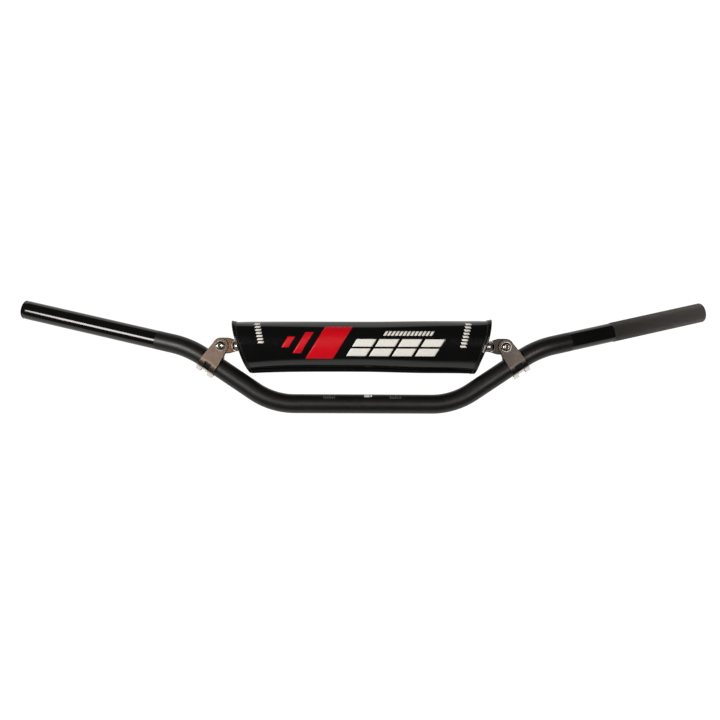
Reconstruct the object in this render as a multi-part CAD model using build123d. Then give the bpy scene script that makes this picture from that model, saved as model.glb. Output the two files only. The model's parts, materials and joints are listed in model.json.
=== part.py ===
from build123d import *

import os
from math import asin, atan2, cos, degrees, radians, sin, sqrt

# Motocross handlebar: a bent 22 mm aluminium tube, a steel crossbar held by two hook clamps, and a
# foam pad in a vinyl cover that turns on the crossbar. Millimetres.
# Origin: on the tube's axis, in the middle of the length that the fork clamps hold.
# +X points to the knurled clutch end, +Y back to the rider, and +Z up.

# Bent tube: where the centrelines of its straight runs meet, and where it ends.
TUBE_RADIUS = 11.1
TUBE_BORE_RADIUS = 7.1
LOWER_CORNER_X = 105.0
UPPER_CORNER_X = 201.8
UPPER_CORNER_Z = 64.8
TUBE_END = (408.2, 53.7, 110.3)
LOWER_BEND_RADIUS = 84.0
UPPER_BEND_RADIUS = 90.0
TUBE_END_ROUND = 1.0
KNURL_LENGTH = 122.0
KNURL_RADIUS = 11.5
KNURL_FADE = 0.4

# Clamp bolts, which also carry the crossbar's flattened ends.
BOLT_X = 164.6
BOLT_Z = 66.8
BOLT_RADIUS = 3.0
BOLT_HOLE_RADIUS = 3.3
BOLT_LENGTH = 20.0
HEAD_RADIUS = 5.4
HEAD_HEIGHT = 3.3
HEAD_RIM_CUT = 0.3
TIP_CHAMFER = 0.5
SOCKET_ACROSS_FLATS = 4.0
SOCKET_DEPTH = 2.1
WASHER_RADIUS = 6.0
WASHER_BORE_RADIUS = 3.2
WASHER_THICKNESS = 1.2
NUT_ACROSS_FLATS = 10.0
NUT_HEX_HEIGHT = 4.6
NUT_HEIGHT = 6.0
NUT_COLLAR_RADIUS = 4.7
NUT_CHAMFER = 0.5
NYLON_RADIUS = 3.9
NYLON_HEIGHT = 1.6
NYLON_GAP = 0.2
THREAD_GAP = 0.05

# Clamp plates, pressed from strip.
PLATE_THICKNESS = 2.2
PLATE_GAP = 0.1
FRONT_PLATE_HALF_WIDTH = 10.75
REAR_PLATE_HALF_WIDTH = 11.6
NOSE_RADIUS = 8.8
TAPER_START = 2.0
FOOT_RADIUS = 13.75
FOOT_ANGLE = 24.0
SLOT_HALF_WIDTH = 4.1
SLOT_BACK = 0.9
SLOT_TOP = -1.5
TONGUE_HALF_WIDTH = 3.6
TONGUE_ANGLE = 44.0
TONGUE_START = 2.2
TONGUE_ROOT = 10.0
REAR_BEND_RADIUS = 4.0
PLATE_EDGE_ROUND = 0.4
PLATE_SHORTEST_EDGE = 6.0
PLATE_SMALLEST_SIDE = 40.0

# Crossbar: a round tube pressed flat at both ends.
CROSSBAR_RADIUS = 6.0
CROSSBAR_BORE_RADIUS = 4.5
CROSSBAR_ROUND_HALF_LENGTH = 142.0
CROSSBAR_BORE_HALF_LENGTH = 139.0
PADDLE_THICKNESS = 4.0
PADDLE_HALF_WIDTH = 8.65
PADDLE_START = 155.0
PADDLE_EDGE_ROUND = 1.2

# Pad: its cover's outer section and its outline as seen from the front. It has been pushed a little
# towards the throttle end of the crossbar.
PAD_SHIFT_X = -2.0
PAD_FRONT = 25.8
PAD_BACK = 23.2
PAD_TOP_Z = 94.0
PAD_BOTTOM_Z = 37.4
PAD_TOP_HALF_LENGTH = 147.3
PAD_MIDDLE_HALF_LENGTH = 141.6
PAD_BOTTOM_HALF_LENGTH = 128.6
TOP_FRONT_ROUND = 16.0
TOP_BACK_ROUND = 12.0
BOTTOM_BACK_ROUND = 9.0
BOTTOM_FRONT_ROUND = 33.0
COVER_THICKNESS = 1.2
FOAM_GAP = 0.2
FOAM_RECESS = 3.5
FOAM_BORE_RADIUS = 6.3
FOAM_SLIT = 1.6
HEM_WIDTH = 5.0
HEM_THICKNESS = 0.8
SEWN_GAP = 0.05
OUTLINE_MARGIN = 5.0

# Closure along the back of the cover: a gap, hook and loop strips, and the flap over them.
OPENING_BOTTOM_Z = 66.0
OPENING_TOP_Z = 71.0
STRIP_BOTTOM_Z = 48.5
STRIP_TOP_Z = 63.5
STRIP_HALF_LENGTH = 118.0
STRIP_THICKNESS = 1.1
STRIP_GAP = 0.3
FLAP_HALF_LENGTH = 121.0
FLAP_TOP_Z = 79.5
FLAP_BEND_Z = 73.0
FLAP_BOTTOM_Z = 46.0
FLAP_THICKNESS = 1.2
FLAP_GAP = 0.4

# Lengths, or parts of a unit normal, that differ by less than this count as the same.
SAME = 0.01

# Worked out from the above.
SLOPE = degrees(atan2(UPPER_CORNER_Z, UPPER_CORNER_X - LOWER_CORNER_X))
FRONT_FACE_Y = -(TUBE_RADIUS + PLATE_GAP)
PADDLE_FRONT_Y = FRONT_FACE_Y
PADDLE_BACK_Y = PADDLE_FRONT_Y + PADDLE_THICKNESS
CROSSBAR_Y = PADDLE_FRONT_Y + PADDLE_THICKNESS / 2
HEAD_UNDERSIDE_Y = FRONT_FACE_Y - PLATE_THICKNESS - WASHER_THICKNESS
NUT_FACE_Y = PADDLE_BACK_Y + PLATE_THICKNESS + WASHER_THICKNESS
PAD_FRONT_Y = CROSSBAR_Y - PAD_FRONT
PAD_BACK_Y = CROSSBAR_Y + PAD_BACK


def along_riser(x, z):
    """How far up the riser a point is, and how far above the riser's axis."""
    run = x - LOWER_CORNER_X
    up = run * cos(radians(SLOPE)) + z * sin(radians(SLOPE))
    above = z * cos(radians(SLOPE)) - run * sin(radians(SLOPE))
    return up, above


CLAMP_UP, BOLT_ABOVE = along_riser(BOLT_X, BOLT_Z)


def tube_route():
    """The tube's centreline, from the throttle end to the clutch end."""
    end_x, end_y, end_z = TUBE_END
    return FilletPolyline(
        (-end_x, end_y, end_z),
        (-UPPER_CORNER_X, 0, UPPER_CORNER_Z),
        (-LOWER_CORNER_X, 0, 0),
        (LOWER_CORNER_X, 0, 0),
        (UPPER_CORNER_X, 0, UPPER_CORNER_Z),
        (end_x, end_y, end_z),
        radius=[UPPER_BEND_RADIUS, LOWER_BEND_RADIUS, LOWER_BEND_RADIUS, UPPER_BEND_RADIUS],
    )


def rod_along(route, radius):
    """A round rod: a cylinder for each straight run and part of a ring for each bend."""
    pieces = []
    for edge in route.edges():
        section = Plane(origin=edge @ 0, z_dir=edge % 0) * Circle(radius)
        if edge.geom_type == GeomType.LINE:
            pieces.append(extrude(section, edge.length))
        else:
            turn_axis = Axis(edge.arc_center, (edge % 0).cross(edge % 1))
            pieces.append(revolve(section, turn_axis, degrees(edge.length / edge.radius)))
    return Part() + pieces


def handlebar_tube():
    route = tube_route()
    tube = rod_along(route, TUBE_RADIUS)
    end, outward = route @ 1, route % 1
    knurl = Plane(origin=end - outward * KNURL_LENGTH, z_dir=outward) * Pos(0, 0, KNURL_LENGTH / 2)
    band = knurl * Cylinder(KNURL_RADIUS, KNURL_LENGTH)
    band = chamfer(band.edges().filter_by(GeomType.CIRCLE), KNURL_FADE)
    tube += band
    tube -= rod_along(route, TUBE_BORE_RADIUS)
    throttle_rim = [e for e in tube.edges() if rim_of(e, route @ 0, TUBE_RADIUS)]
    return fillet(throttle_rim, TUBE_END_ROUND)


def rim_of(edge, centre, radius):
    """Is this edge the circle of that radius around an end of the tube?"""
    if edge.geom_type != GeomType.CIRCLE:
        return False
    return (edge.arc_center - centre).length < SAME and abs(edge.radius - radius) < SAME


def crossbar():
    """Half of the crossbar is made, then mirrored: round in the middle, flat around the bolt."""
    round_part = extrude(Plane.YZ * Circle(CROSSBAR_RADIUS), CROSSBAR_ROUND_HALF_LENGTH)
    flat_section = RectangleRounded(PADDLE_THICKNESS, 2 * PADDLE_HALF_WIDTH, PADDLE_EDGE_ROUND)
    shoulder = loft([
        Plane.YZ.offset(CROSSBAR_ROUND_HALF_LENGTH) * Circle(CROSSBAR_RADIUS),
        Plane.YZ.offset(PADDLE_START) * flat_section,
    ])
    reach = BOLT_X + PADDLE_HALF_WIDTH
    paddle = extrude(Plane.YZ.offset(PADDLE_START) * flat_section, reach - PADDLE_START)
    tip = Pos(BOLT_X, 0, 0) * Rot(90, 0, 0) * Cylinder(PADDLE_HALF_WIDTH, 2 * PADDLE_THICKNESS)
    tip += Pos(BOLT_X / 2, 0, 0) * Box(BOLT_X, 2 * PADDLE_THICKNESS, 4 * PADDLE_HALF_WIDTH)
    half = round_part + shoulder + (paddle & tip)
    half -= Pos(BOLT_X, 0, 0) * Rot(90, 0, 0) * Cylinder(BOLT_HOLE_RADIUS, 2 * PADDLE_THICKNESS)
    bar = half + mirror(half, Plane.YZ)
    bar -= Rot(0, 90, 0) * Cylinder(CROSSBAR_BORE_RADIUS, 2 * CROSSBAR_BORE_HALF_LENGTH)
    return Pos(0, CROSSBAR_Y, BOLT_Z) * bar


def on_riser(shape):
    """Places a shape drawn round the riser: its X goes up the riser and its Z away from it."""
    x = LOWER_CORNER_X + CLAMP_UP * cos(radians(SLOPE))
    z = CLAMP_UP * sin(radians(SLOPE))
    return Pos(x, 0, z) * Rot(0, -SLOPE, 0) * shape


def ring_sector(inner, outer, start, stop):
    """Part of a flat ring between two angles in degrees, less than half a turn apart."""
    reach = 3 * outer
    middle = (start + stop) / 2
    corners = [(reach * cos(radians(a)), reach * sin(radians(a))) for a in (start, middle, stop)]
    wedge = make_face(Polyline((0, 0), *corners, close=True))
    return (Circle(outer) - Circle(inner)) & wedge


def plate_outline(half_width):
    """A plate seen from the front: straight sides that close in to a round nose at the bolt."""
    lean = asin((half_width - NOSE_RADIUS) / (BOLT_ABOVE - TAPER_START))
    shoulder_x = NOSE_RADIUS * cos(lean)
    shoulder_z = BOLT_ABOVE + NOSE_RADIUS * sin(lean)
    bottom = -2 * TUBE_RADIUS
    sides = Polyline(
        (-half_width, bottom),
        (half_width, bottom),
        (half_width, TAPER_START),
        (shoulder_x, shoulder_z),
        (-shoulder_x, shoulder_z),
        (-half_width, TAPER_START),
        close=True,
    )
    outline = make_face(sides) + Pos(0, BOLT_ABOVE) * Circle(NOSE_RADIUS)
    outline -= Pos(0, BOLT_ABOVE) * Circle(BOLT_HOLE_RADIUS)
    return extrude(Plane.XZ * outline, 2 * TUBE_RADIUS, both=True)


def bar_across(y_low, y_high, z_low, z_high):
    """A rectangle in a plate's side view."""
    middle = ((y_low + y_high) / 2, (z_low + z_high) / 2)
    return Pos(*middle) * Rectangle(y_high - y_low, z_high - z_low)


def clamp_front_plate():
    """Flat in front of the riser and the paddle, then curled under the riser to a slotted foot."""
    nose_top = BOLT_ABOVE + 2 * NOSE_RADIUS
    foot_centre = Pos(FRONT_FACE_Y + FOOT_RADIUS, 0)
    profile = bar_across(FRONT_FACE_Y - PLATE_THICKNESS, FRONT_FACE_Y, 0, nose_top)
    profile += foot_centre * ring_sector(FOOT_RADIUS, FOOT_RADIUS + PLATE_THICKNESS, 180, 270 + FOOT_ANGLE)
    plate = extrude(Plane.YZ * profile, FRONT_PLATE_HALF_WIDTH, both=True)
    plate &= plate_outline(FRONT_PLATE_HALF_WIDTH)
    slot = bar_across(2 * FRONT_FACE_Y, SLOT_BACK, -3 * TUBE_RADIUS, SLOT_TOP)
    plate -= extrude(Plane.YZ * slot, SLOT_HALF_WIDTH, both=True)
    return rounded_edges(plate)


def clamp_rear_plate():
    """Flat behind the paddle, bent over the riser and down its back, to a tongue that hooks the foot."""
    face_y = PADDLE_BACK_Y + PLATE_THICKNESS / 2
    wrap_radius = TUBE_RADIUS + PLATE_GAP + PLATE_THICKNESS / 2
    bend_y = face_y + REAR_BEND_RADIUS
    bend_z = sqrt((wrap_radius + REAR_BEND_RADIUS) ** 2 - bend_y ** 2)
    meet = degrees(atan2(bend_z, bend_y))
    half = PLATE_THICKNESS / 2
    nose_top = BOLT_ABOVE + 2 * NOSE_RADIUS
    inner, outer = wrap_radius - half, wrap_radius + half
    profile = bar_across(face_y - half, face_y + half, bend_z, nose_top)
    profile += Pos(bend_y, bend_z) * ring_sector(
        REAR_BEND_RADIUS - half, REAR_BEND_RADIUS + half, 180, 180 + meet
    )
    profile += ring_sector(inner, outer, 0, meet)
    profile += ring_sector(inner, outer, -90 + TONGUE_START, 0)
    plate = extrude(Plane.YZ * profile, REAR_PLATE_HALF_WIDTH, both=True)
    plate &= plate_outline(REAR_PLATE_HALF_WIDTH)
    tongue = ring_sector(inner, outer, -90 - TONGUE_ANGLE, -90 + TONGUE_ROOT)
    plate += extrude(Plane.YZ * tongue, TONGUE_HALF_WIDTH, both=True)
    return rounded_edges(plate)


def rounded_edges(plate):
    """Takes the sharpness off a pressed plate's long edges."""
    sides = [f for f in plate.faces() if 1 - abs(f.normal_at().X) < SAME and f.area > PLATE_SMALLEST_SIDE]
    edges = ShapeList()
    for side in sides:
        edges += side.edges().filter_by(lambda edge: edge.length > PLATE_SHORTEST_EDGE)
    return fillet(edges, PLATE_EDGE_ROUND)


def on_bolt(shape, y):
    """Places a shape drawn along +Z so that it starts at y and runs back along the bolt."""
    return Pos(BOLT_X, y, BOLT_Z) * Rot(-90, 0, 0) * shape


def clamp_screw():
    """Button head with a hexagon socket, drawn with the head's underside at zero."""
    dome_radius = (HEAD_RADIUS ** 2 + HEAD_HEIGHT ** 2) / (2 * HEAD_HEIGHT)
    dome = Pos(0, 0, dome_radius - HEAD_HEIGHT) * Sphere(dome_radius)
    head = dome & Pos(0, 0, -HEAD_HEIGHT / 2) * Cylinder(HEAD_RADIUS - HEAD_RIM_CUT, HEAD_HEIGHT)
    socket = RegularPolygon(SOCKET_ACROSS_FLATS / 2, 6, major_radius=False)
    head -= Pos(0, 0, -HEAD_HEIGHT) * extrude(socket, SOCKET_DEPTH)
    shank = Pos(0, 0, BOLT_LENGTH / 2) * Cylinder(BOLT_RADIUS, BOLT_LENGTH)
    tip = shank.edges().filter_by(GeomType.CIRCLE).sort_by(Axis.Z)[-1]
    shank = chamfer(tip, TIP_CHAMFER)
    return on_bolt(head + shank, HEAD_UNDERSIDE_Y)


def washer(y):
    ring = Circle(WASHER_RADIUS) - Circle(WASHER_BORE_RADIUS)
    return on_bolt(extrude(ring, WASHER_THICKNESS), y)


def lock_nut():
    """Hexagon nut with a collar that holds its nylon ring."""
    hexagon = RegularPolygon(NUT_ACROSS_FLATS / 2, 6, major_radius=False)
    nut = extrude(hexagon, NUT_HEX_HEIGHT)
    corners = NUT_ACROSS_FLATS / sqrt(3)
    crown = Pos(0, 0, NUT_HEX_HEIGHT / 2) * Cylinder(corners, NUT_HEX_HEIGHT)
    nut &= chamfer(crown.edges().filter_by(GeomType.CIRCLE), NUT_CHAMFER)
    nut += extrude(Circle(NUT_COLLAR_RADIUS), NUT_HEIGHT)
    nut -= extrude(Circle(BOLT_RADIUS + THREAD_GAP), NUT_HEIGHT)
    nut -= Pos(0, 0, NUT_HEIGHT - NYLON_HEIGHT) * extrude(Circle(NYLON_RADIUS), NYLON_HEIGHT)
    return on_bolt(nut, NUT_FACE_Y)


def nylon_ring():
    ring = Circle(NYLON_RADIUS - THREAD_GAP) - Circle(BOLT_RADIUS + THREAD_GAP)
    return on_bolt(extrude(ring, NYLON_HEIGHT - NYLON_GAP), NUT_FACE_Y + NUT_HEIGHT - NYLON_HEIGHT)


def pad_section(inset):
    """The pad's cross-section in the YZ plane, drawn inset by a distance from the cover's outside."""
    corners = [
        (PAD_FRONT_Y + inset, PAD_TOP_Z - inset, TOP_FRONT_ROUND),
        (PAD_BACK_Y - inset, PAD_TOP_Z - inset, TOP_BACK_ROUND),
        (PAD_BACK_Y - inset, PAD_BOTTOM_Z + inset, BOTTOM_BACK_ROUND),
        (PAD_FRONT_Y + inset, PAD_BOTTOM_Z + inset, BOTTOM_FRONT_ROUND),
    ]
    points = [(y, z) for y, z, _ in corners]
    radii = [r - inset for _, _, r in corners]
    return make_face(FilletPolyline(*points, radius=radii, close=True))


def pad_outline(shorter):
    """The pad's bulk in front view, with bowed ends, each shorter by a distance."""
    top = (PAD_TOP_HALF_LENGTH - shorter, PAD_TOP_Z)
    middle = (PAD_MIDDLE_HALF_LENGTH - shorter, BOLT_Z)
    bottom = (PAD_BOTTOM_HALF_LENGTH - shorter, PAD_BOTTOM_Z)
    bow = ThreePointArc(bottom, middle, top)

    def on_bow(z):
        return (bow.arc_center.X + sqrt(bow.radius**2 - (z - bow.arc_center.Y) ** 2), z)

    above = on_bow(PAD_TOP_Z + OUTLINE_MARGIN)
    below = on_bow(PAD_BOTTOM_Z - OUTLINE_MARGIN)
    edges = [
        ThreePointArc(below, middle, above),
        Line(above, (0, above[1])),
        Line((0, above[1]), (0, below[1])),
        Line((0, below[1]), below),
    ]
    half = make_face(edges)
    outline = half + mirror(half, Plane.YZ)
    return Pos(0, CROSSBAR_Y, 0) * extrude(Plane.XZ * outline, 2 * PAD_FRONT, both=True)


def pad_bulk(inset, shorter):
    """A solid with the pad's section and outline."""
    return extrude(Plane.YZ * pad_section(inset), PAD_TOP_HALF_LENGTH, both=True) & pad_outline(shorter)


def back_opening():
    """The gap along the cover's back that the flap closes over."""
    size = (4 * PAD_TOP_HALF_LENGTH, PAD_BACK, OPENING_TOP_Z - OPENING_BOTTOM_Z)
    middle_z = (OPENING_TOP_Z + OPENING_BOTTOM_Z) / 2
    return Pos(0, PAD_BACK_Y, middle_z) * Box(*size)


def foam_core():
    """Foam block with a hole for the crossbar and a slit at the back to push it on through."""
    foam = pad_bulk(COVER_THICKNESS + FOAM_GAP, FOAM_RECESS)
    foam -= Pos(0, CROSSBAR_Y, BOLT_Z) * Rot(0, 90, 0) * Cylinder(FOAM_BORE_RADIUS, 4 * PAD_TOP_HALF_LENGTH)
    slit = Box(4 * PAD_TOP_HALF_LENGTH, 2 * PAD_BACK, FOAM_SLIT)
    return foam - Pos(0, CROSSBAR_Y + PAD_BACK, BOLT_Z) * slit


def pad_cover():
    cover = pad_bulk(0, 0) - pad_bulk(COVER_THICKNESS, -HEM_WIDTH)
    return cover - back_opening()


def end_hem():
    """Binding round the cover's clutch end."""
    band = pad_bulk(-HEM_THICKNESS, 0) - pad_bulk(-SEWN_GAP, -HEM_WIDTH)
    band -= pad_outline(HEM_WIDTH)
    band -= back_opening()
    reach = 2 * PAD_TOP_HALF_LENGTH
    return band & Pos(reach / 2, 0, 0) * Box(reach, reach, reach)


def strip(y):
    """One half of the hook and loop closure."""
    size = (2 * STRIP_HALF_LENGTH, STRIP_THICKNESS, STRIP_TOP_Z - STRIP_BOTTOM_Z)
    return Pos(0, y + STRIP_THICKNESS / 2, (STRIP_TOP_Z + STRIP_BOTTOM_Z) / 2) * Box(*size)


LOOP_STRIP_Y = PAD_BACK_Y + SEWN_GAP
HOOK_STRIP_Y = LOOP_STRIP_Y + STRIP_THICKNESS + STRIP_GAP
FLAP_FACE_Y = HOOK_STRIP_Y + STRIP_THICKNESS + SEWN_GAP


def closure_flap():
    """Vinyl flap, sewn along its top and pressed shut along its bottom."""
    near = PAD_BACK_Y + FLAP_GAP
    far = FLAP_FACE_Y
    profile = Polyline(
        (near, FLAP_TOP_Z),
        (near + FLAP_THICKNESS, FLAP_TOP_Z),
        (far + FLAP_THICKNESS, FLAP_BEND_Z),
        (far + FLAP_THICKNESS, FLAP_BOTTOM_Z),
        (far, FLAP_BOTTOM_Z),
        (far, FLAP_BEND_Z),
        close=True,
    )
    return extrude(Plane.YZ * make_face(profile), FLAP_HALF_LENGTH, both=True)


def clutch_side_clamp():
    """The clutch side's clamp, by name; the throttle side's is its mirror image."""
    return {
        "clamp_front_plate": on_riser(clamp_front_plate()),
        "clamp_rear_plate": on_riser(clamp_rear_plate()),
        "clamp_screw": clamp_screw(),
        "screw_washer": washer(HEAD_UNDERSIDE_Y),
        "nut_washer": washer(NUT_FACE_Y - WASHER_THICKNESS),
        "lock_nut": lock_nut(),
        "nut_nylon_ring": nylon_ring(),
    }


def pad_pieces():
    """Everything that turns on the crossbar, centred on it."""
    hem = end_hem()
    return {
        "pad_foam_core": foam_core(),
        "pad_cover": pad_cover(),
        "clutch_pad_end_hem": hem,
        "throttle_pad_end_hem": mirror(hem, Plane.YZ),
        "loop_strip": strip(LOOP_STRIP_Y),
        "hook_strip": strip(HOOK_STRIP_Y),
        "closure_flap": closure_flap(),
    }


def all_pieces():
    pieces = {"handlebar_tube": handlebar_tube(), "crossbar": crossbar()}
    for name, piece in clutch_side_clamp().items():
        pieces["clutch_" + name] = piece
        pieces["throttle_" + name] = mirror(piece, Plane.YZ)
    for name, piece in pad_pieces().items():
        pieces[name] = Pos(PAD_SHIFT_X, 0, 0) * piece
    return pieces


os.makedirs("parts", exist_ok=True)
for name, piece in all_pieces().items():
    export_step(piece, "parts/" + name + ".step")
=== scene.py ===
import json
import math

import bpy
import numpy as np
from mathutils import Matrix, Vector
from mathutils.bvhtree import BVHTree


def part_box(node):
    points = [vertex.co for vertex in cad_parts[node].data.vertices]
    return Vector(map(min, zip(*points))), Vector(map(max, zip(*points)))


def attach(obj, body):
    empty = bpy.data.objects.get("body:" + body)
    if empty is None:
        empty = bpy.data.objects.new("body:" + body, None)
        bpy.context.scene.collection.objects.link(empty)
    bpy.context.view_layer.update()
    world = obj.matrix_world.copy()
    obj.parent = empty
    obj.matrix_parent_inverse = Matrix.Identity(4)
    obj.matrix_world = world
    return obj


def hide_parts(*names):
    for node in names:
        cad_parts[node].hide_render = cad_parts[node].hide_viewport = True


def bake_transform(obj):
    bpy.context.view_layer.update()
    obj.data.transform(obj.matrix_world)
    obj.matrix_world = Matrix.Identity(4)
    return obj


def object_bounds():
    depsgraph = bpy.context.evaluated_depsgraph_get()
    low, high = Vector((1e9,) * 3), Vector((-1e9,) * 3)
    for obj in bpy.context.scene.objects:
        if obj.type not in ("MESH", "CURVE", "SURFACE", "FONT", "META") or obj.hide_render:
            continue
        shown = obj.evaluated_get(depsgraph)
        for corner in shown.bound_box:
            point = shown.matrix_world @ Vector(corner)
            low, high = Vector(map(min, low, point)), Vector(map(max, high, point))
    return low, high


# Motocross handlebar: the looks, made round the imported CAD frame. Lengths in metres.
# +X points to the knurled clutch end, +Y back to the rider, and +Z up.

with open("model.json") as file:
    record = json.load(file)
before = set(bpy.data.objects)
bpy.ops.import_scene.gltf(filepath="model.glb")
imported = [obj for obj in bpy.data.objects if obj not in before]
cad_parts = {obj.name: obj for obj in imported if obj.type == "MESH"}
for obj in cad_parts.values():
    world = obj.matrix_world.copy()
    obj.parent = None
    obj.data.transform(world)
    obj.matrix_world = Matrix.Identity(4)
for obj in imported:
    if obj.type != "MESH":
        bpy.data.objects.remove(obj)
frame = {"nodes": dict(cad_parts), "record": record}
cad_low, cad_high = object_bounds()
MM = 0.001
MOUNTS = {mount["name"]: mount for mount in frame["record"]["mounts"]}
NODES = frame["nodes"]
SIDES = (("throttle", -1), ("clutch", 1))

# Tube.
TUBE_RADIUS = MOUNTS["centre_clamp"]["dims"]["r_mm"] * MM
BORE_RADIUS = MOUNTS["clutch_bar_end_bore"]["dims"]["r_mm"] * MM
KNURL_RADIUS = MOUNTS["clutch_grip"]["dims"]["r_mm"] * MM
LOWER_CORNER = Vector((105.0, 0, 0)) * MM
UPPER_CORNER = Vector((201.8, 0, 64.8)) * MM
TUBE_END = Vector((408.2, 53.7, 110.3)) * MM
LOWER_BEND_RADIUS = 84 * MM
UPPER_BEND_RADIUS = 90 * MM
GLOSS_LENGTH = 177 * MM
KNURL_LENGTH = 122 * MM
KNURL_GROOVE_RADIUS = TUBE_RADIUS - 0.1 * MM
KNURL_CREST = 0.42  # a flat top's width, as a share of its diamond's
KNURL_HELIX = math.radians(30)
RIM_ROUND = 1.0 * MM
BORE_CHAMFER = 0.5 * MM
TUBE_SEGMENTS = 54
TUBE_STEP = 3 * MM
DULL, SHINY, RIDGED, BARE = range(4)  # the tube's finishes, in the order that its mesh has them

# Crossbar and its bolts.
BOLT_X = 164.6 * MM
BOLT_Z = 66.8 * MM
CROSSBAR_Y = -9.2 * MM
CROSSBAR_RADIUS = 6 * MM
PADDLE_HALF_THICKNESS = 2 * MM
PADDLE_HALF_WIDTH = 9.2 * MM
CROSSBAR_SEGMENTS = 64
TAPER_FROM, TAPER_TO = 143 * MM, 157 * MM
PADDLE_RISE = 0.3 * MM
# Where the clamp plates' painted highlight below the riser begins and where it is full: painted reflection
# of light from below.
FOOT_PAINTED_LIGHT_START, FOOT_PAINTED_LIGHT_FULL = -9 * MM, -11.5 * MM  # from the riser's axis, below it
DOME_FROM, DOME_TO = 144 * MM, 151.5 * MM
BOLT_HOLE_RADIUS = 3.3 * MM
HEAD_UNDERSIDE_Y = -14.6 * MM
SCREW_LENGTH = 20 * MM
SCREW_RADIUS = 3 * MM
THREAD_PITCH = 1.0 * MM
THREAD_DEPTH = 0.55 * MM
THREAD_FROM = 12 * MM
HEAD_RADIUS = 5.1 * MM
HEAD_HEIGHT = 3.3 * MM
SOCKET_FLAT = 2 * MM
SOCKET_DEPTH = 2.1 * MM

# Pad.
PAD_X = -2.0 * MM
PAD_FRONT_Y = -35.0 * MM
PAD_BACK_Y = 14.0 * MM
PAD_TOP_Z = 94.0 * MM
PAD_BOTTOM_Z = 37.9 * MM
PAD_ROUNDS = [12 * MM, 20 * MM, 34 * MM, 9 * MM]
OPENING_Z = (66 * MM, 71 * MM)
OUTLINE_Z = (94.0, 66.8, 37.4)
OUTLINE_X = {-1: (148.7, 141.6, 128.6), 1: (148.9, 142.4, 130.6)}
COVER_THICKNESS = 1.2 * MM
MOST_SWELL = 1.2 * MM
SEAM_Z = 41.8 * MM
FOAM_HOLE_RADIUS = 6.3 * MM
FOAM_SLIT = 1.6 * MM
FLAP_HALF_LENGTH = 121 * MM
FLAP_THICKNESS = 1.1 * MM
FLAP_HINGE_Z = 79.5 * MM
STRIP_HALF_LENGTH = 118 * MM


# ---- shapes

class Path:
    """Straight runs joined by tangent arcs, which gives the point and direction at any distance."""

    def __init__(self, corners, radii):
        self.spans = []
        start = corners[0]
        for before, corner, after, radius in zip(corners, corners[1:], corners[2:], radii):
            inward = (corner - before).normalized()
            outward = (after - corner).normalized()
            turn = inward.angle(outward)
            cut = radius * math.tan(turn / 2)
            self.add_line(start, corner - inward * cut)
            self.add_arc(corner - inward * cut, inward, outward, radius, turn)
            start = corner + outward * cut
        self.add_line(start, corners[-1])
        self.length = sum(length for length, _ in self.spans)

    def add_line(self, start, stop):
        heading = (stop - start).normalized()
        self.spans.append(((stop - start).length, lambda s: (start + heading * s, heading)))

    def add_arc(self, start, heading, outward, radius, turn):
        across = (outward - heading * heading.dot(outward)).normalized()

        def place(s):
            angle = s / radius
            point = start + radius * (heading * math.sin(angle) + across * (1 - math.cos(angle)))
            return point, heading * math.cos(angle) + across * math.sin(angle)

        self.spans.append((radius * turn, place))

    def at(self, distance):
        for length, place in self.spans:
            if distance <= length:
                return place(distance)
            distance -= length
        return place(distance + length)


def smooth_step(x, low, high):
    t = np.clip((x - low) / (high - low), 0, 1)
    return t * t * (3 - 2 * t)


def grid_faces(rows, columns, wrap_rows=False, wrap_columns=False, first=0):
    """Quads over vertices laid out row by row."""
    faces = []
    for i in range(rows if wrap_rows else rows - 1):
        for j in range(columns if wrap_columns else columns - 1):
            a, b = i * columns, ((i + 1) % rows) * columns
            right = (j + 1) % columns
            faces.append((first + a + j, first + a + right, first + b + right, first + b + j))
    return faces


def rim_cells(rows, columns):
    """The outermost cells of a grid, in order round it."""
    cells = [(i, 0) for i in range(rows)] + [(rows - 1, j) for j in range(1, columns)]
    cells += [(i, columns - 1) for i in range(rows - 2, -1, -1)]
    return cells + [(0, j) for j in range(columns - 2, 0, -1)]


def capped_faces(rows, columns, first=0):
    """Quads between closed rings, and a face over each end."""
    last = first + (rows - 1) * columns
    ends = [tuple(range(start, start + columns)) for start in (first, last)]
    return grid_faces(rows, columns, wrap_columns=True, first=first) + ends


def add_object(name, data):
    added = bpy.data.objects.new(name, data)
    bpy.context.scene.collection.objects.link(added)
    return added


def make_piece(name, points, faces, finishes, kinds=None, sharp=35):
    """A smooth-shaded mesh whose edges sharper than an angle stay sharp."""
    mesh = bpy.data.meshes.new(name)
    mesh.from_pydata([tuple(p) for p in points], [], faces)
    for finish in finishes:
        mesh.materials.append(finish.material)
    if kinds is not None:
        mesh.polygons.foreach_set("material_index", kinds)
    mesh.polygons.foreach_set("use_smooth", [True] * len(mesh.polygons))
    mesh.set_sharp_from_angle(angle=math.radians(sharp))
    mesh.validate()
    return add_object(name, mesh)


def outward_faces(piece):
    """Turns a closed mesh's faces outwards."""
    bpy.context.view_layer.objects.active = piece
    piece.select_set(True)
    bpy.ops.object.mode_set(mode="EDIT")
    bpy.ops.mesh.select_all(action="SELECT")
    bpy.ops.mesh.normals_make_consistent(inside=False)
    bpy.ops.object.mode_set(mode="OBJECT")
    piece.select_set(False)
    return piece


def fresh_graph():
    graph = bpy.context.evaluated_depsgraph_get()
    graph.update()
    return graph


def apply_modifiers(piece):
    """Keeps the shape that the modifiers give, and drops them."""
    mesh = bpy.data.meshes.new_from_object(piece.evaluated_get(fresh_graph()))
    piece.modifiers.clear()
    piece.data = mesh
    return piece


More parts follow.
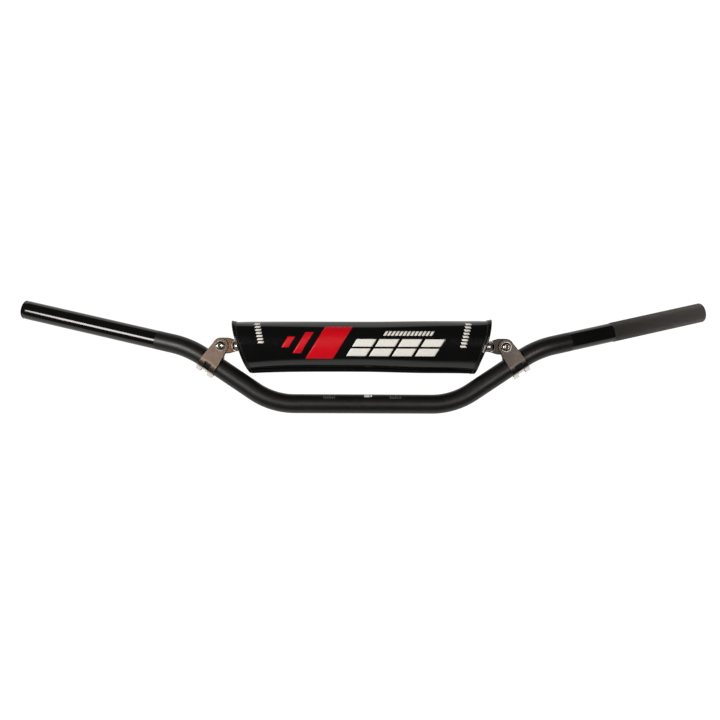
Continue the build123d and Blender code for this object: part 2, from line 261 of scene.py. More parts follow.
def thicken(piece, thickness, offset, levels=0):
    """Gives a sheet its thickness, smooths it by so many levels, and keeps the result."""
    thick = piece.modifiers.new("thickness", "SOLIDIFY")
    thick.thickness, thick.offset = thickness, offset
    if levels:
        smooth = piece.modifiers.new("smooth", "SUBSURF")
        smooth.levels = smooth.render_levels = levels
    return apply_modifiers(piece)


def surface_of(piece):
    return BVHTree.FromObject(piece, fresh_graph())


def settle(piece, body):
    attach(piece, body)
    return piece


# ---- materials

class Finish:
    """A Principled material, with helpers that vary it over the surface in the object's own place."""

    def __init__(self, name, **uniform):
        self.material = bpy.data.materials.new(name)
        self.material.use_nodes = True
        self.tree = self.material.node_tree
        self.shader = self.tree.nodes["Principled BSDF"]
        self.height = None
        for socket, value in uniform.items():
            self.shader.inputs[socket.replace("_", " ")].default_value = value

    def add(self, kind, **settings):
        node = self.tree.nodes.new("ShaderNode" + kind)
        for key, value in settings.items():
            setattr(node, key, value)
        return node

    def link(self, source, target):
        self.tree.links.new(source, target)

    def place(self, stretch=(1, 1, 1)):
        where = self.add("TexCoord")
        scaled = self.add("Mapping")
        scaled.inputs["Scale"].default_value = stretch
        self.link(where.outputs["Object"], scaled.inputs["Vector"])
        return scaled.outputs["Vector"]

    def noise(self, size, detail=3.0, stretch=(1, 1, 1)):
        """Noise whose blotches are about size across."""
        texture = self.add("TexNoise")
        texture.inputs["Scale"].default_value = 1 / size
        texture.inputs["Detail"].default_value = detail
        self.link(self.place(stretch), texture.inputs["Vector"])
        return texture.outputs["Fac"]

    def cells(self, size, stretch=(1, 1, 1)):
        texture = self.add("TexVoronoi")
        texture.inputs["Scale"].default_value = 1 / size
        self.link(self.place(stretch), texture.inputs["Vector"])
        return texture.outputs["Distance"]

    def waves(self, size, direction, distortion=0.0, stretch=(1, 1, 1)):
        texture = self.add("TexWave", wave_type="BANDS", bands_direction=direction)
        texture.inputs["Scale"].default_value = math.pi / 10 / size
        texture.inputs["Distortion"].default_value = distortion
        self.link(self.place(stretch), texture.inputs["Vector"])
        return texture.outputs["Fac"]

    def spread(self, source, low, high, start=0.3, stop=0.7):
        """Spreads a source's values between low and high."""
        node = self.add("MapRange")
        for socket, value in (("From Min", start), ("From Max", stop), ("To Min", low), ("To Max", high)):
            node.inputs[socket].default_value = value
        self.link(source, node.inputs["Value"])
        return node.outputs["Result"]

    def colour(self, source, first, second, start=0.3, stop=0.7):
        mix = self.add("Mix", data_type="RGBA")
        mix.inputs["A"].default_value = (*first, 1)
        mix.inputs["B"].default_value = (*second, 1)
        self.link(self.spread(source, 0, 1, start, stop), mix.inputs["Factor"])
        self.link(mix.outputs["Result"], self.shader.inputs["Base Color"])
        return self

    def blend_to(self, source, colour, start, stop):
        """Turns the colour into another one as a source goes from start to stop."""
        before = self.shader.inputs["Base Color"].links[0].from_socket
        self.colour(source, (0, 0, 0), colour, start, stop)
        mix = self.shader.inputs["Base Color"].links[0].from_node
        self.link(before, mix.inputs["A"])
        return self

    def roughness(self, source, low, high, start=0.3, stop=0.7):
        self.link(self.spread(source, low, high, start, stop), self.shader.inputs["Roughness"])
        return self

    def bump(self, source, depth, strength=1.0):
        """Adds relief of a depth in metres; more than one may be added."""
        node = self.add("Bump")
        node.inputs["Distance"].default_value = depth
        node.inputs["Strength"].default_value = strength
        self.link(source, node.inputs["Height"])
        if self.height is not None:
            self.link(self.height, node.inputs["Normal"])
        self.height = node.outputs["Normal"]
        self.link(self.height, self.shader.inputs["Normal"])
        return self


def mottled(name, colour_noise, colours, rough_noise, rough, *bumps, **uniform):
    """A material of noise alone: each noise is (size, detail, stretch), each bump (noise, depth)."""
    finish = Finish(name, **uniform)
    finish.colour(finish.noise(*colour_noise), *colours)
    finish.roughness(finish.noise(*rough_noise), *rough)
    for noise, depth in bumps:
        finish.bump(finish.noise(*noise), depth)
    return finish


def knurled_black():
    """Pale flat tops over dark grooves, by the value that the mesh carries for each point; that value also
    rises towards the bar end, a painted highlight on the crests.
    """
    finish = Finish("knurled_black", Specular_IOR_Level=0.6)
    crest_and_painted_light = finish.add("Attribute", attribute_name="crest_and_painted_light")
    finish.colour(crest_and_painted_light.outputs["Fac"], (0.014, 0.013, 0.012), (0.17, 0.157, 0.141), 0.0, 1.0)
    finish.roughness(finish.noise(4 * MM), 0.38, 0.52)
    finish.bump(finish.noise(0.25 * MM, 2), 0.015 * MM)
    return finish


def zinc(name, cool, warm, rough, patch=7 * MM):
    """Yellow-passivated zinc on pressed steel: clouded colour, tumbled surface."""
    pits, dents = ((0.8 * MM, 2), 0.0003 * MM), ((7 * MM, 1), 0.004 * MM)
    return mottled(name, (patch, 4), (cool, warm), (1.6 * MM, 3), rough, pits, dents, Metallic=1.0)


def plate_zinc_painted_underlight(name, side, cool, warm):
    """A clamp plate's zinc, turned near white below the riser as a painted reflection of the light from
    below, where the photo's plates are bright.
    """
    finish = zinc(name, cool, warm, (0.3, 0.36), 12 * MM)
    rise = (UPPER_CORNER - LOWER_CORNER).normalized()
    height = finish.add("VectorMath", operation="DOT_PRODUCT")
    height.inputs[1].default_value = (-side * rise.z, 0, rise.x)
    finish.link(finish.place(), height.inputs[0])
    axis = -LOWER_CORNER.x * rise.z
    # Near-white colour blended in below the riser: a painted reflection of light from below, not the zinc's
    # own colour.
    finish.blend_to(height.outputs["Value"], (0.93, 0.91, 0.87), axis + FOOT_PAINTED_LIGHT_START, axis + FOOT_PAINTED_LIGHT_FULL)
    return finish


def crossbar_zinc():
    """Pale where it's round; the pressed ends run from coppery at the throttle to dark at the clutch,
    painted light on the throttle side and painted shade on the clutch side.
    """
    finish = Finish("crossbar_zinc", Metallic=1.0)
    where = finish.add("SeparateXYZ")
    finish.link(finish.place(), where.inputs["Vector"])
    # Colour runs along X from coppery at the throttle to dark at the clutch: painted light on one side,
    # painted shade on the other.
    finish.colour(where.outputs["X"], (0.135, 0.088, 0.058), (0.035, 0.032, 0.026), -BOLT_X, BOLT_X)
    from_middle = finish.add("Math", operation="ABSOLUTE")
    finish.link(where.outputs["X"], from_middle.inputs[0])
    finish.blend_to(from_middle.outputs["Value"], (0.42, 0.4, 0.37), DOME_TO - 2 * MM, DOME_TO - 3 * MM)
    finish.roughness(finish.noise(2.5 * MM, 3), 0.24, 0.32)
    finish.bump(finish.noise(0.6 * MM, 2, (0.3, 1, 1)), 0.0004 * MM)
    finish.bump(finish.noise(6 * MM, 1), 0.0035 * MM)
    return finish


def foam():
    finish = Finish("open_cell_foam")
    finish.colour(finish.cells(0.9 * MM), (0.045, 0.044, 0.045), (0.012, 0.012, 0.013), 0.1, 0.6)
    finish.roughness(finish.noise(3 * MM), 0.85, 1.0)
    finish.bump(finish.cells(0.9 * MM), 0.5 * MM)
    finish.bump(finish.noise(6 * MM), 0.4 * MM)
    return finish


def thread(name, dark, light):
    finish = Finish(name)
    finish.colour(finish.noise(0.5 * MM), dark, light)
    finish.roughness(finish.noise(0.4 * MM), 0.5, 0.75)
    finish.bump(finish.waves(0.3 * MM, "DIAGONAL"), 0.05 * MM)
    return finish


def nylon_pile(name, dark, light, size):
    sheen = {"Sheen_Weight": 0.3, "Sheen_Roughness": 0.4}
    tufts = ((size, 4), 0.25 * MM)
    return mottled(name, (size, 4), (dark, light), (size * 3,), (0.7, 0.95), tufts, **sheen)


def ink(name, light, dark, rough):
    """Screen-printed ink with a faint mottle."""
    grain = ((0.35 * MM, 2), 0.004 * MM)
    return mottled(name, (2.5 * MM, 4), (dark, light), (3 * MM,), rough, grain, Specular_IOR_Level=0.22)


MATTE = mottled(
    "matte_black", (18 * MM,), ((0.0035, 0.0032, 0.0028), (0.0065, 0.006, 0.0052)), (5 * MM,), (0.36, 0.44),
    ((0.3 * MM, 2), 0.012 * MM), Specular_IOR_Level=0.45,
)
GLOSS = mottled(
    "gloss_black", (25 * MM,), ((0.002, 0.0018, 0.0016), (0.0035, 0.0032, 0.003)),
    (3 * MM, 3, (0.15, 1, 1)), (0.08, 0.13), ((0.5 * MM, 2, (0.04, 1, 1)), 0.0015 * MM),
    Specular_IOR_Level=0.65,
)
KNURL = knurled_black()
BORED = mottled(
    "bored_aluminium", (6 * MM,), ((0.3, 0.29, 0.28), (0.45, 0.44, 0.42)), (1.5 * MM,), (0.35, 0.5),
    ((0.4 * MM, 2, (0.2, 1, 1)), 0.01 * MM), Metallic=1.0,
)
VINYL = mottled(
    "gloss_vinyl", (30 * MM,), ((0.0022, 0.0021, 0.0022), (0.004, 0.0038, 0.0038)), (6 * MM,), (0.10, 0.15),
    ((0.6 * MM, 2), 0.0025 * MM), Specular_IOR_Level=0.5,
)
BINDING = mottled(
    "binding_vinyl", (3 * MM,), ((0.002, 0.0019, 0.0019), (0.005, 0.0047, 0.0045)),
    (1.5 * MM,), (0.2, 0.32), ((0.7 * MM,), 0.01 * MM), Specular_IOR_Level=0.3,
)
NYLON = mottled(
    "nut_nylon", (2 * MM,), ((0.7, 0.69, 0.63), (0.8, 0.79, 0.74)), (1 * MM,), (0.35, 0.5),
    ((0.4 * MM,), 0.01 * MM), Subsurface_Weight=0.15,
)
BLACK_THREAD = thread("black_thread", (0.012, 0.012, 0.012), (0.04, 0.039, 0.038))
# Pale thread, used only for the one-sided clutch hem tack: a painted highlight.
HIGHLIGHT_THREAD = thread("painted_highlight_thread", (0.6, 0.58, 0.54), (0.75, 0.73, 0.7))
RED_INK = ink("red_ink", (0.62, 0.003, 0.011), (0.56, 0.002, 0.009), (0.3, 0.4))
WHITE_INK = ink("white_ink", (0.86, 0.84, 0.79), (0.78, 0.76, 0.71), (0.3, 0.4))
MARK_INK = ink("mark_ink", (0.17, 0.165, 0.16), (0.12, 0.117, 0.114), (0.4, 0.5))


# ---- tube

def tube_path():
    """The tube's centreline, from the throttle end to the clutch end."""
    half = [LOWER_CORNER, UPPER_CORNER, TUBE_END]
    other = [Vector((-p.x, p.y, p.z)) for p in reversed(half)]
    radii = [UPPER_BEND_RADIUS, LOWER_BEND_RADIUS, LOWER_BEND_RADIUS, UPPER_BEND_RADIUS]
    return Path(other + half, radii)


TUBE = tube_path()


def tube_point(distance, angle, radius):
    """A point on the tube; angle 0 is its top, and a quarter turn is its front."""
    centre, heading = TUBE.at(distance)
    up = (Vector((0, 0, 1)) - heading * heading.z).normalized()
    side = heading.cross(up)
    return centre + radius * (up * math.cos(angle) + side * math.sin(angle))


def tube_ring(distance, radius, shift=0.0):
    turn = 2 * math.pi / TUBE_SEGMENTS
    return [tube_point(distance, (k + shift) * turn, radius) for k in range(TUBE_SEGMENTS)]


def between(start, stop, step):
    return list(np.linspace(start, stop, max(2, round((stop - start) / step) + 1)))


def tube_profile():
    """Rings before the knurl: (distance, radius, finish of the band that follows)."""
    rings = [(BORE_CHAMFER, BORE_RADIUS, BARE), (0, BORE_RADIUS + BORE_CHAMFER, BARE)]
    for angle in np.radians([0, 22.5, 45, 67.5, 90]):
        distance = RIM_ROUND * (1 - math.sin(angle))
        rings.append((distance, TUBE_RADIUS - RIM_ROUND * (1 - math.cos(angle)), SHINY))
    gloss = between(RIM_ROUND, GLOSS_LENGTH, TUBE_STEP)[1:]
    rings += [(d, TUBE_RADIUS, SHINY) for d in gloss[:-1]]
    matte = between(GLOSS_LENGTH, TUBE.length - GLOSS_LENGTH, TUBE_STEP)
    rings += [(d, TUBE_RADIUS, DULL) for d in matte[:-1]]
    gloss = between(TUBE.length - GLOSS_LENGTH, TUBE.length - KNURL_LENGTH, TUBE_STEP)
    rings += [(d, TUBE_RADIUS, SHINY) for d in gloss]
    return rings


def knurl_faces(first, rows, crest_first):
    """Flat-topped diamonds between rings of groove crossings, and the half diamonds at both ends."""
    count = TUBE_SEGMENTS
    faces, crest = [], crest_first
    for row in range(rows):
        here = first + row * count
        ahead, behind = here + count, here - count
        for k in range(count):
            shift = k + 1 if row % 2 else k
            left, right = here + k, here + (k + 1) % count
            top, bottom = ahead + shift % count, behind + shift % count
            if row == 0:
                faces.append((left, right, top))
            elif row == rows - 1:
                faces.append((right, left, bottom))
            else:
                corners = (left, bottom, right, top)
                inner = tuple(range(crest, crest + 4))
                crest += 4
                faces.append(inner)
                for n in range(4):
                    m = (n + 1) % 4
                    faces.append((corners[n], corners[m], inner[m], inner[n]))
    return faces


def knurl_crests(distances):
    """The corners of each diamond's flat top."""
    turn = 2 * math.pi / TUBE_SEGMENTS
    pitch = distances[1] - distances[0]
    points = []
    for row, distance in enumerate(distances[1:-1], start=1):
        for k in range(TUBE_SEGMENTS):
            angle = (k + 0.5 * (row % 2) + 0.5) * turn
            for along, around in ((0, -0.5), (-1, 0), (0, 0.5), (1, 0)):
                place = distance + KNURL_CREST * along * pitch
                points.append(tube_point(place, angle + KNURL_CREST * around * turn, KNURL_RADIUS))
    return points


def handlebar_tube():
    profile = tube_profile()
    points = [p for distance, radius, _ in profile for p in tube_ring(distance, radius)]
    faces = grid_faces(len(profile), TUBE_SEGMENTS, wrap_columns=True)
    kinds = [kind for _, _, kind in profile[:-1] for _ in range(TUBE_SEGMENTS)]

    start, stop = TUBE.length - KNURL_LENGTH, TUBE.length - RIM_ROUND
    half_pitch = math.pi * TUBE_RADIUS / TUBE_SEGMENTS / math.tan(KNURL_HELIX)
    rows = 2 * round((stop - start) / half_pitch / 2) + 1
    distances = list(np.linspace(start, stop, rows))
    first = (len(profile) - 1) * TUBE_SEGMENTS
    for row, distance in enumerate(distances[1:], start=1):
        points += tube_ring(distance, KNURL_GROOVE_RADIUS, 0.5 * (row % 2))

    last = first + (rows - 1) * TUBE_SEGMENTS
    end = [
        (TUBE.length - 0.4 * RIM_ROUND, TUBE_RADIUS - 0.25 * RIM_ROUND, SHINY),
        (TUBE.length, TUBE_RADIUS - RIM_ROUND, BARE),
        (TUBE.length, BORE_RADIUS + BORE_CHAMFER, BARE),
    ]
    bore = between(BORE_CHAMFER, TUBE.length - BORE_CHAMFER, 3 * TUBE_STEP)
    end += [(distance, BORE_RADIUS, BARE) for distance in reversed(bore[1:])]
    for distance, radius, _ in end:
        points += tube_ring(distance, radius)
    faces += grid_faces(len(end) + 1, TUBE_SEGMENTS, wrap_columns=True, first=last)
    kinds += [kind for kind in [SHINY] + [e[2] for e in end[:-1]] for _ in range(TUBE_SEGMENTS)]
    final = last + len(end) * TUBE_SEGMENTS
    for k in range(TUBE_SEGMENTS):
        right = (k + 1) % TUBE_SEGMENTS
        faces.append((final + k, final + right, right, k))
    kinds += [BARE] * TUBE_SEGMENTS

    crests = len(points)
    points += knurl_crests(distances)
    diamonds = knurl_faces(first, rows, crests)
    faces += diamonds
    kinds += [RIDGED] * len(diamonds)
    tube = make_piece("handlebar_tube_shaped", points, faces, [MATTE, GLOSS, KNURL, BORED], kinds, 28)
    crest_and_painted_light = tube.data.attributes.new("crest_and_painted_light", "FLOAT", "POINT")
    count, per_row = len(points) - crests, 4 * TUBE_SEGMENTS
    # Crest value rises from 0.3 to 1 along the knurl towards the clutch end: a painted highlight, with the
    # end crests made paler as if they caught more light.
    pale = [0.3 + 0.7 * (n // per_row) * per_row / count for n in range(count)]
    crest_and_painted_light.data.foreach_set("value", [0.0] * crests + pale)
    outward_faces(tube)
    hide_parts("handlebar_tube")
    return settle(tube, "bar")


def tube_marks():
    """Printed alignment scales for the fork clamps, and an index mark between them."""
    points, faces = [], []
    proud = 0.04 * MM

    def bar(x, width, low, high):
        """A mark from one angle to another round the tube's front, in degrees from its top."""
        steps = 6
        for edge in (x - width / 2, x + width / 2):
            for angle in np.radians(np.linspace(low, high, steps)):
                points.append(tube_point(TUBE.length / 2 + edge, angle, TUBE_RADIUS + proud))
        faces.extend(grid_faces(2, steps, first=len(points) - 2 * steps))

    pitch = 2.0 * MM
    for centre in (-39.2 * MM, 37.6 * MM):
        for tick in range(-3, 4):
            low = 32 if tick % 3 == 0 else 38
            bar(centre + pitch * tick, 0.4 * pitch, low, 55)
    scales = len(faces)
    bar(4.4 * MM, 6.0 * MM, 12, 44)
    bar(9.4 * MM, 2.0 * MM, 14, 42)
    kinds = [0] * scales + [1] * (len(faces) - scales)
    marks = make_piece("tube_alignment_marks", points, faces, [MARK_INK, WHITE_INK], kinds)
    return settle(marks, "bar")


# ---- crossbar, clamps and bolts

def crossbar_ring(x):
    """A section of the crossbar: round, then a dome that dies into the pressed paddle, with a round end."""
    away = abs(x)
    wide = smooth_step(away, TAPER_FROM, TAPER_TO)
    half = CROSSBAR_RADIUS + (PADDLE_HALF_WIDTH - CROSSBAR_RADIUS) * wide
    if away > BOLT_X:
        half *= math.sqrt(max(1 - ((away - BOLT_X) / PADDLE_HALF_WIDTH) ** 2, 0.002))
    inside = np.clip((away - DOME_FROM) / (DOME_TO - DOME_FROM), 0, 1)
    dome = CROSSBAR_RADIUS * math.sqrt(1 - inside ** 2)
    ring = []
    for angle in np.linspace(0, 2 * math.pi, CROSSBAR_SEGMENTS, endpoint=False):
        height = half * math.sin(angle)
        flat = min(CROSSBAR_RADIUS * abs(math.cos(angle)), PADDLE_HALF_THICKNESS)
        round_part = math.sqrt(max(dome ** 2 - height ** 2, 0))
        deep = (flat ** 6 + round_part ** 6) ** (1 / 6) if away > DOME_FROM else max(flat, round_part)
        side = math.copysign(deep, math.cos(angle))
        ring.append(Vector((x, CROSSBAR_Y + side, BOLT_Z + PADDLE_RISE * wide + height)))
    return ring


def crossbar():
    middle = between(0, TAPER_FROM - 2 * MM, 8 * MM)
    shoulder = between(TAPER_FROM - 2 * MM, TAPER_TO + 1 * MM, 0.5 * MM)[1:]
    paddle = between(TAPER_TO + 1 * MM, BOLT_X, 1.5 * MM)[1:]
    nose = [BOLT_X + PADDLE_HALF_WIDTH * math.sin(a) for a in np.radians(np.arange(6, 91, 7))]
    half = middle + shoulder + paddle + nose
    stations = [-x for x in reversed(half[1:])] + half
    points = [p for x in stations for p in crossbar_ring(x)]
    faces = capped_faces(len(stations), CROSSBAR_SEGMENTS)
    bar = make_piece("crossbar_shaped", points, faces, [crossbar_zinc()], sharp=50)
    outward_faces(bar)
    for _, side in SIDES:
        centre = Vector((side * BOLT_X, CROSSBAR_Y, BOLT_Z))
        bore_hole(bar, centre, BOLT_HOLE_RADIUS, 10 * PADDLE_HALF_THICKNESS)
    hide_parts("crossbar")
    return settle(bar, "bar")


def bore_hole(piece, centre, radius, length):
    """Cuts a round hole along Y."""
    bpy.ops.mesh.primitive_cylinder_add(
        vertices=48, radius=radius, depth=length, location=centre, rotation=(math.pi / 2, 0, 0)
    )
    cutter = bpy.context.object
    cut = piece.modifiers.new("hole", "BOOLEAN")
    cut.operation = "DIFFERENCE"
    cut.solver = "EXACT"
    cut.object = cutter
    apply_modifiers(piece)
    bpy.data.objects.remove(cutter)


def screw_rings():
    """(distance from the head's underside, radius, outline) of each ring, from the socket to the tip."""
    dome = (HEAD_RADIUS ** 2 + HEAD_HEIGHT ** 2) / (2 * HEAD_HEIGHT)
    top = -HEAD_HEIGHT
    floor = top + SOCKET_DEPTH
    rings = [(floor + 0.5 * MM, 0.02 * MM, "round"), (floor, 0.9 * SOCKET_FLAT, "round")]
    rings += [(floor, SOCKET_FLAT, "hexagon"), (top + 0.3 * MM, SOCKET_FLAT, "hexagon")]
    for radius in np.array([2.55, 2.8, 3.3, 3.8, 4.3, 4.7, 5.0]) * MM:
        depth = dome - math.sqrt(dome ** 2 - (radius - 2.5 * MM) ** 2 * 1.9)
        rings.append((top + depth, radius, "round"))
    rings += [(-0.45 * MM, HEAD_RADIUS, "round"), (-0.15 * MM, HEAD_RADIUS, "round")]
    rings += [(0, HEAD_RADIUS - 0.2 * MM, "round"), (0, SCREW_RADIUS, "round")]
    rings += [(THREAD_FROM - 0.5 * MM, SCREW_RADIUS, "round")]
    for distance in between(THREAD_FROM, SCREW_LENGTH - 0.1 * MM, THREAD_PITCH / 8):
        rings.append((distance, SCREW_RADIUS, "thread"))
    rings += [(SCREW_LENGTH, SCREW_RADIUS - 0.8 * MM, "round"), (SCREW_LENGTH, 0.02 * MM, "round")]
    return rings


def clamp_screw(side_name, side, finish):
    """An M6 button head screw with its socket and a cut thread where it passes the nut."""
    segments = 48
    points = []
    for distance, radius, outline in screw_rings():
        for k in range(segments):
            angle = 2 * math.pi * k / segments
            reach = radius
            if outline == "hexagon":
                reach = radius / math.cos(angle % (math.pi / 3) - math.pi / 6)
            if outline == "thread":
                turn = (distance / THREAD_PITCH - angle / (2 * math.pi)) % 1
                fade = min(1.0, (distance - THREAD_FROM) / THREAD_PITCH)
                tip = max(0.0, distance - (SCREW_LENGTH - 0.7 * MM))
                reach = min(radius - tip, radius - THREAD_DEPTH * fade * (1 - abs(2 * turn - 1)))
            place = Vector((reach * math.cos(angle), 0, reach * math.sin(angle)))
            points.append(Vector((side * BOLT_X, HEAD_UNDERSIDE_Y + distance, BOLT_Z)) + place)
    faces = capped_faces(len(points) // segments, segments)
    screw = make_piece(side_name + "_clamp_screw_threaded", points, faces, [finish], sharp=40)
    outward_faces(screw)
    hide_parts(side_name + "_clamp_screw")
    return settle(screw, "bar")


def refinish_metal():
    """Better materials on the clamps' CAD nodes."""
    plates = {
        # One zinc in two copies: the throttle plates lighter and coppery as painted light, the clutch
        # plates darker as painted shade.
        "throttle": plate_zinc_painted_underlight("throttle_clamp_zinc_painted_light", -1, (0.096, 0.07, 0.054), (0.133, 0.095, 0.078)),
        "clutch": plate_zinc_painted_underlight("clutch_clamp_zinc_painted_shade", 1, (0.05, 0.042, 0.037), (0.077, 0.063, 0.057)),
    }
    bright = zinc("bright_zinc", (0.3, 0.275, 0.24), (0.42, 0.39, 0.35), (0.18, 0.24), 3 * MM)
    for name, _ in SIDES:
        for part in ("clamp_front_plate", "clamp_rear_plate"):
            give(NODES[name + "_" + part], plates[name])
        for part in ("screw_washer", "nut_washer", "lock_nut"):
            give(NODES[name + "_" + part], bright)
        give(NODES[name + "_nut_nylon_ring"], NYLON)


def give(piece, finish):
    piece.data.materials.clear()
    piece.data.materials.append(finish.material)


# ---- pad

def pad_half_length(z, side=-1):
    """Half the cover's length at a height, on the throttle's side or the clutch's: its ends are bowed."""
    curve = np.polyfit(OUTLINE_Z, OUTLINE_X[side], 2)
    return np.polyval(curve, z / MM) * MM


def section_path(low, high, inset=0.0):
    """The pad's section, from above its opening over the top, down the front and back up."""
    back, front = PAD_BACK_Y - inset, PAD_FRONT_Y + inset
    top, bottom = PAD_TOP_Z - inset, PAD_BOTTOM_Z + inset
    corners = [(back, high), (back, top), (front, top), (front, bottom), (back, bottom), (back, low)]
    return Path([Vector((0, y, z)) for y, z in corners], [r - inset for r in PAD_ROUNDS])


SECTION = section_path(*OPENING_Z)
AROUND = 91
ALONG = 101


def cover_grid():
    """Points of the cover's outside, from end to end (first index) and round the section (second)."""
    grid = np.zeros((ALONG, AROUND, 3))
    middle = (PAD_TOP_Z + PAD_BOTTOM_Z) / 2
    for j, distance in enumerate(np.linspace(0, SECTION.length, AROUND)):
        point, _ = SECTION.at(distance)
        for i, u in enumerate(np.linspace(-1, 1, ALONG)):
            x = u * pad_half_length(point.z, 1 if u > 0 else -1)
            above = (point.z - middle) / (PAD_TOP_Z - middle)
            grid[i, j] = (PAD_X + x, point.y, point.z + end_flare(u, above))
    return grid


def end_flare(u, above):
    """How far the cover's top lifts and its bottom droops towards the ends."""
    end = abs(u)
    if above < 0:
        left = 2.4 * MM * max(-u, 0) ** 4
        right = 1.5 * MM * smooth_step(u, 0, 0.6) + 1.0 * MM * max(u, 0) ** 12
        return -left * smooth_step(-above, 0, 0.7) - right * smooth_step(-above, 0.5, 1.0)
    lift = 0.2 * MM + 1.35 * MM * smooth_step(u, 0, 0.65) + 1.2 * MM * max(u, 0) ** 6
    return (lift + 1.3 * MM * smooth_step(end, 0.965, 1.0)) * above ** 2


CLOTH_FRAMES = 20
CLOTH = {
    "quality": 6, "mass": 0.4, "tension_stiffness": 25, "compression_stiffness": 25, "bending_stiffness": 2,
    "use_pressure": True, "uniform_pressure_force": 4, "vertex_group_mass": "held",
}


def inflate(grid):
    """Lets the vinyl swell like cloth over the foam, held at its hems and along the sewn closure."""
    points = grid.reshape(-1, 3)
    cloth = make_piece("cover_cloth", points, grid_faces(ALONG, AROUND), [VINYL])
    held = cloth.vertex_groups.new(name="held")
    sewn = sewn_share(grid).reshape(-1)
    held.add([int(n) for n in np.flatnonzero(sewn > 0.5)], 1.0, "REPLACE")
    swell = cloth.modifiers.new("swell", "CLOTH")
    for setting, value in CLOTH.items():
        setattr(swell.settings, setting, value)
    swell.settings.effector_weights.gravity = 0
    swell.collision_settings.use_collision = False
    scene = bpy.context.scene
    for number in range(1, CLOTH_FRAMES + 1):
        scene.frame_set(number)
    graph = bpy.context.evaluated_depsgraph_get()
    swollen = np.array([v.co for v in cloth.evaluated_get(graph).data.vertices])
    scene.frame_set(1)
    bpy.data.objects.remove(cloth)
    moved = swollen - points
    size = np.linalg.norm(moved, axis=1, keepdims=True)
    moved *= MOST_SWELL * np.tanh(size / MOST_SWELL) / np.maximum(size, 1e-9)
    return grid + moved.reshape(grid.shape) * swell_share(grid)[..., None]


def sewn_share(grid):
    """1 where the cover is held: at its hems and along the closure at its back."""
    u = np.linspace(-1, 1, ALONG)[:, None] * np.ones((1, AROUND))
    at_back = grid[..., 1] > PAD_BACK_Y - 0.5 * MM
    low = grid[..., 2] < FLAP_HINGE_Z + 5 * MM
    return ((np.abs(u) > 0.975) | (at_back & low)).astype(float)


def swell_share(grid):
    """How much of the swelling is kept: the print panel in front stays taut."""
    front = smooth_step(grid[..., 1], PAD_FRONT_Y + 1 * MM, PAD_FRONT_Y + 14 * MM)
    return 0.12 + 0.88 * front


def crease(grid):
    """A faint sunken line across the front near the throttle end, and a fainter ripple."""
    x, z = grid[..., 0], grid[..., 2]
    front = smooth_step(-grid[..., 1], -PAD_FRONT_Y - 6 * MM, -PAD_FRONT_Y - 1 * MM)
    line = np.exp(-((z - 64.5 * MM) / (1.8 * MM)) ** 2) * smooth_step(-x, 78 * MM, 100 * MM)
    ripple = np.sin(x / (23 * MM)) * np.sin(z / (9 * MM) + x / (41 * MM))
    grid[..., 1] += front * (0.1 * MM * line + 0.025 * MM * ripple)
    return grid


def unit(rows):
    return rows / np.linalg.norm(rows, axis=1, keepdims=True)


def edge_frame(line, inner):
    """Along and outward directions at each point of the cover's end edge."""
    along = unit(line - inner)
    out = unit(np.cross(unit(np.gradient(line, axis=0)), along))
    middle = line.mean(axis=0)
    if ((line - middle) * out).sum() < 0:
        out = -out
    return along, out


def pad_cover(grid):
    cover = make_piece("pad_cover_vinyl", grid.reshape(-1, 3), grid_faces(ALONG, AROUND), [VINYL], sharp=60)
    middle = Vector(grid.reshape(-1, 3).mean(axis=0))
    face = cover.data.polygons[len(cover.data.polygons) // 2]
    if face.normal.dot(face.center - middle) < 0:
        cover.data.flip_normals()
    thicken(cover, COVER_THICKNESS, -1, levels=1)
    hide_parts("pad_cover")
    return settle(cover, "pad")


def sweep_profile(name, line, along, out, profile, finish):
    """A capped strip: a profile of (along, out) points in millimetres, carried down a line."""
    points = [p + (a * x + o * y) * MM for p, a, o in zip(line, along, out) for x, y in profile]
    faces = capped_faces(len(line), len(profile))
    return outward_faces(make_piece(name, points, faces, [finish], sharp=50))


def end_hem(grid, side_name, side):
    """The cover's end, folded in and bound, and the stitches that hold it."""
    row = -1 if side > 0 else 0
    inner = -3 if side > 0 else 2
    line = grid[row]
    along, out = edge_frame(line, grid[inner])
    profile = [
        (-5.0, -0.1), (-4.9, 0.12), (-4.4, 0.3), (-3.9, 0.16), (-3.4, 0.32), (-1.6, 0.4), (-0.3, 0.34),
        (0.15, 0.05), (0.3, -0.6), (0.15, -1.3), (-0.4, -1.7), (-2.5, -1.8), (-3.0, -1.4), (-3.0, -0.6),
    ]
    hem = sweep_profile(side_name + "_hem_binding", line, along, out, profile, BINDING)
    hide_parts(side_name + "_pad_end_hem")
    settle(hem, "pad")
    seam = line - along * 3.9 * MM + out * 0.28 * MM
    stitches(side_name + "_hem_stitches", seam, out, 3.0 * MM, BLACK_THREAD)
    return hem


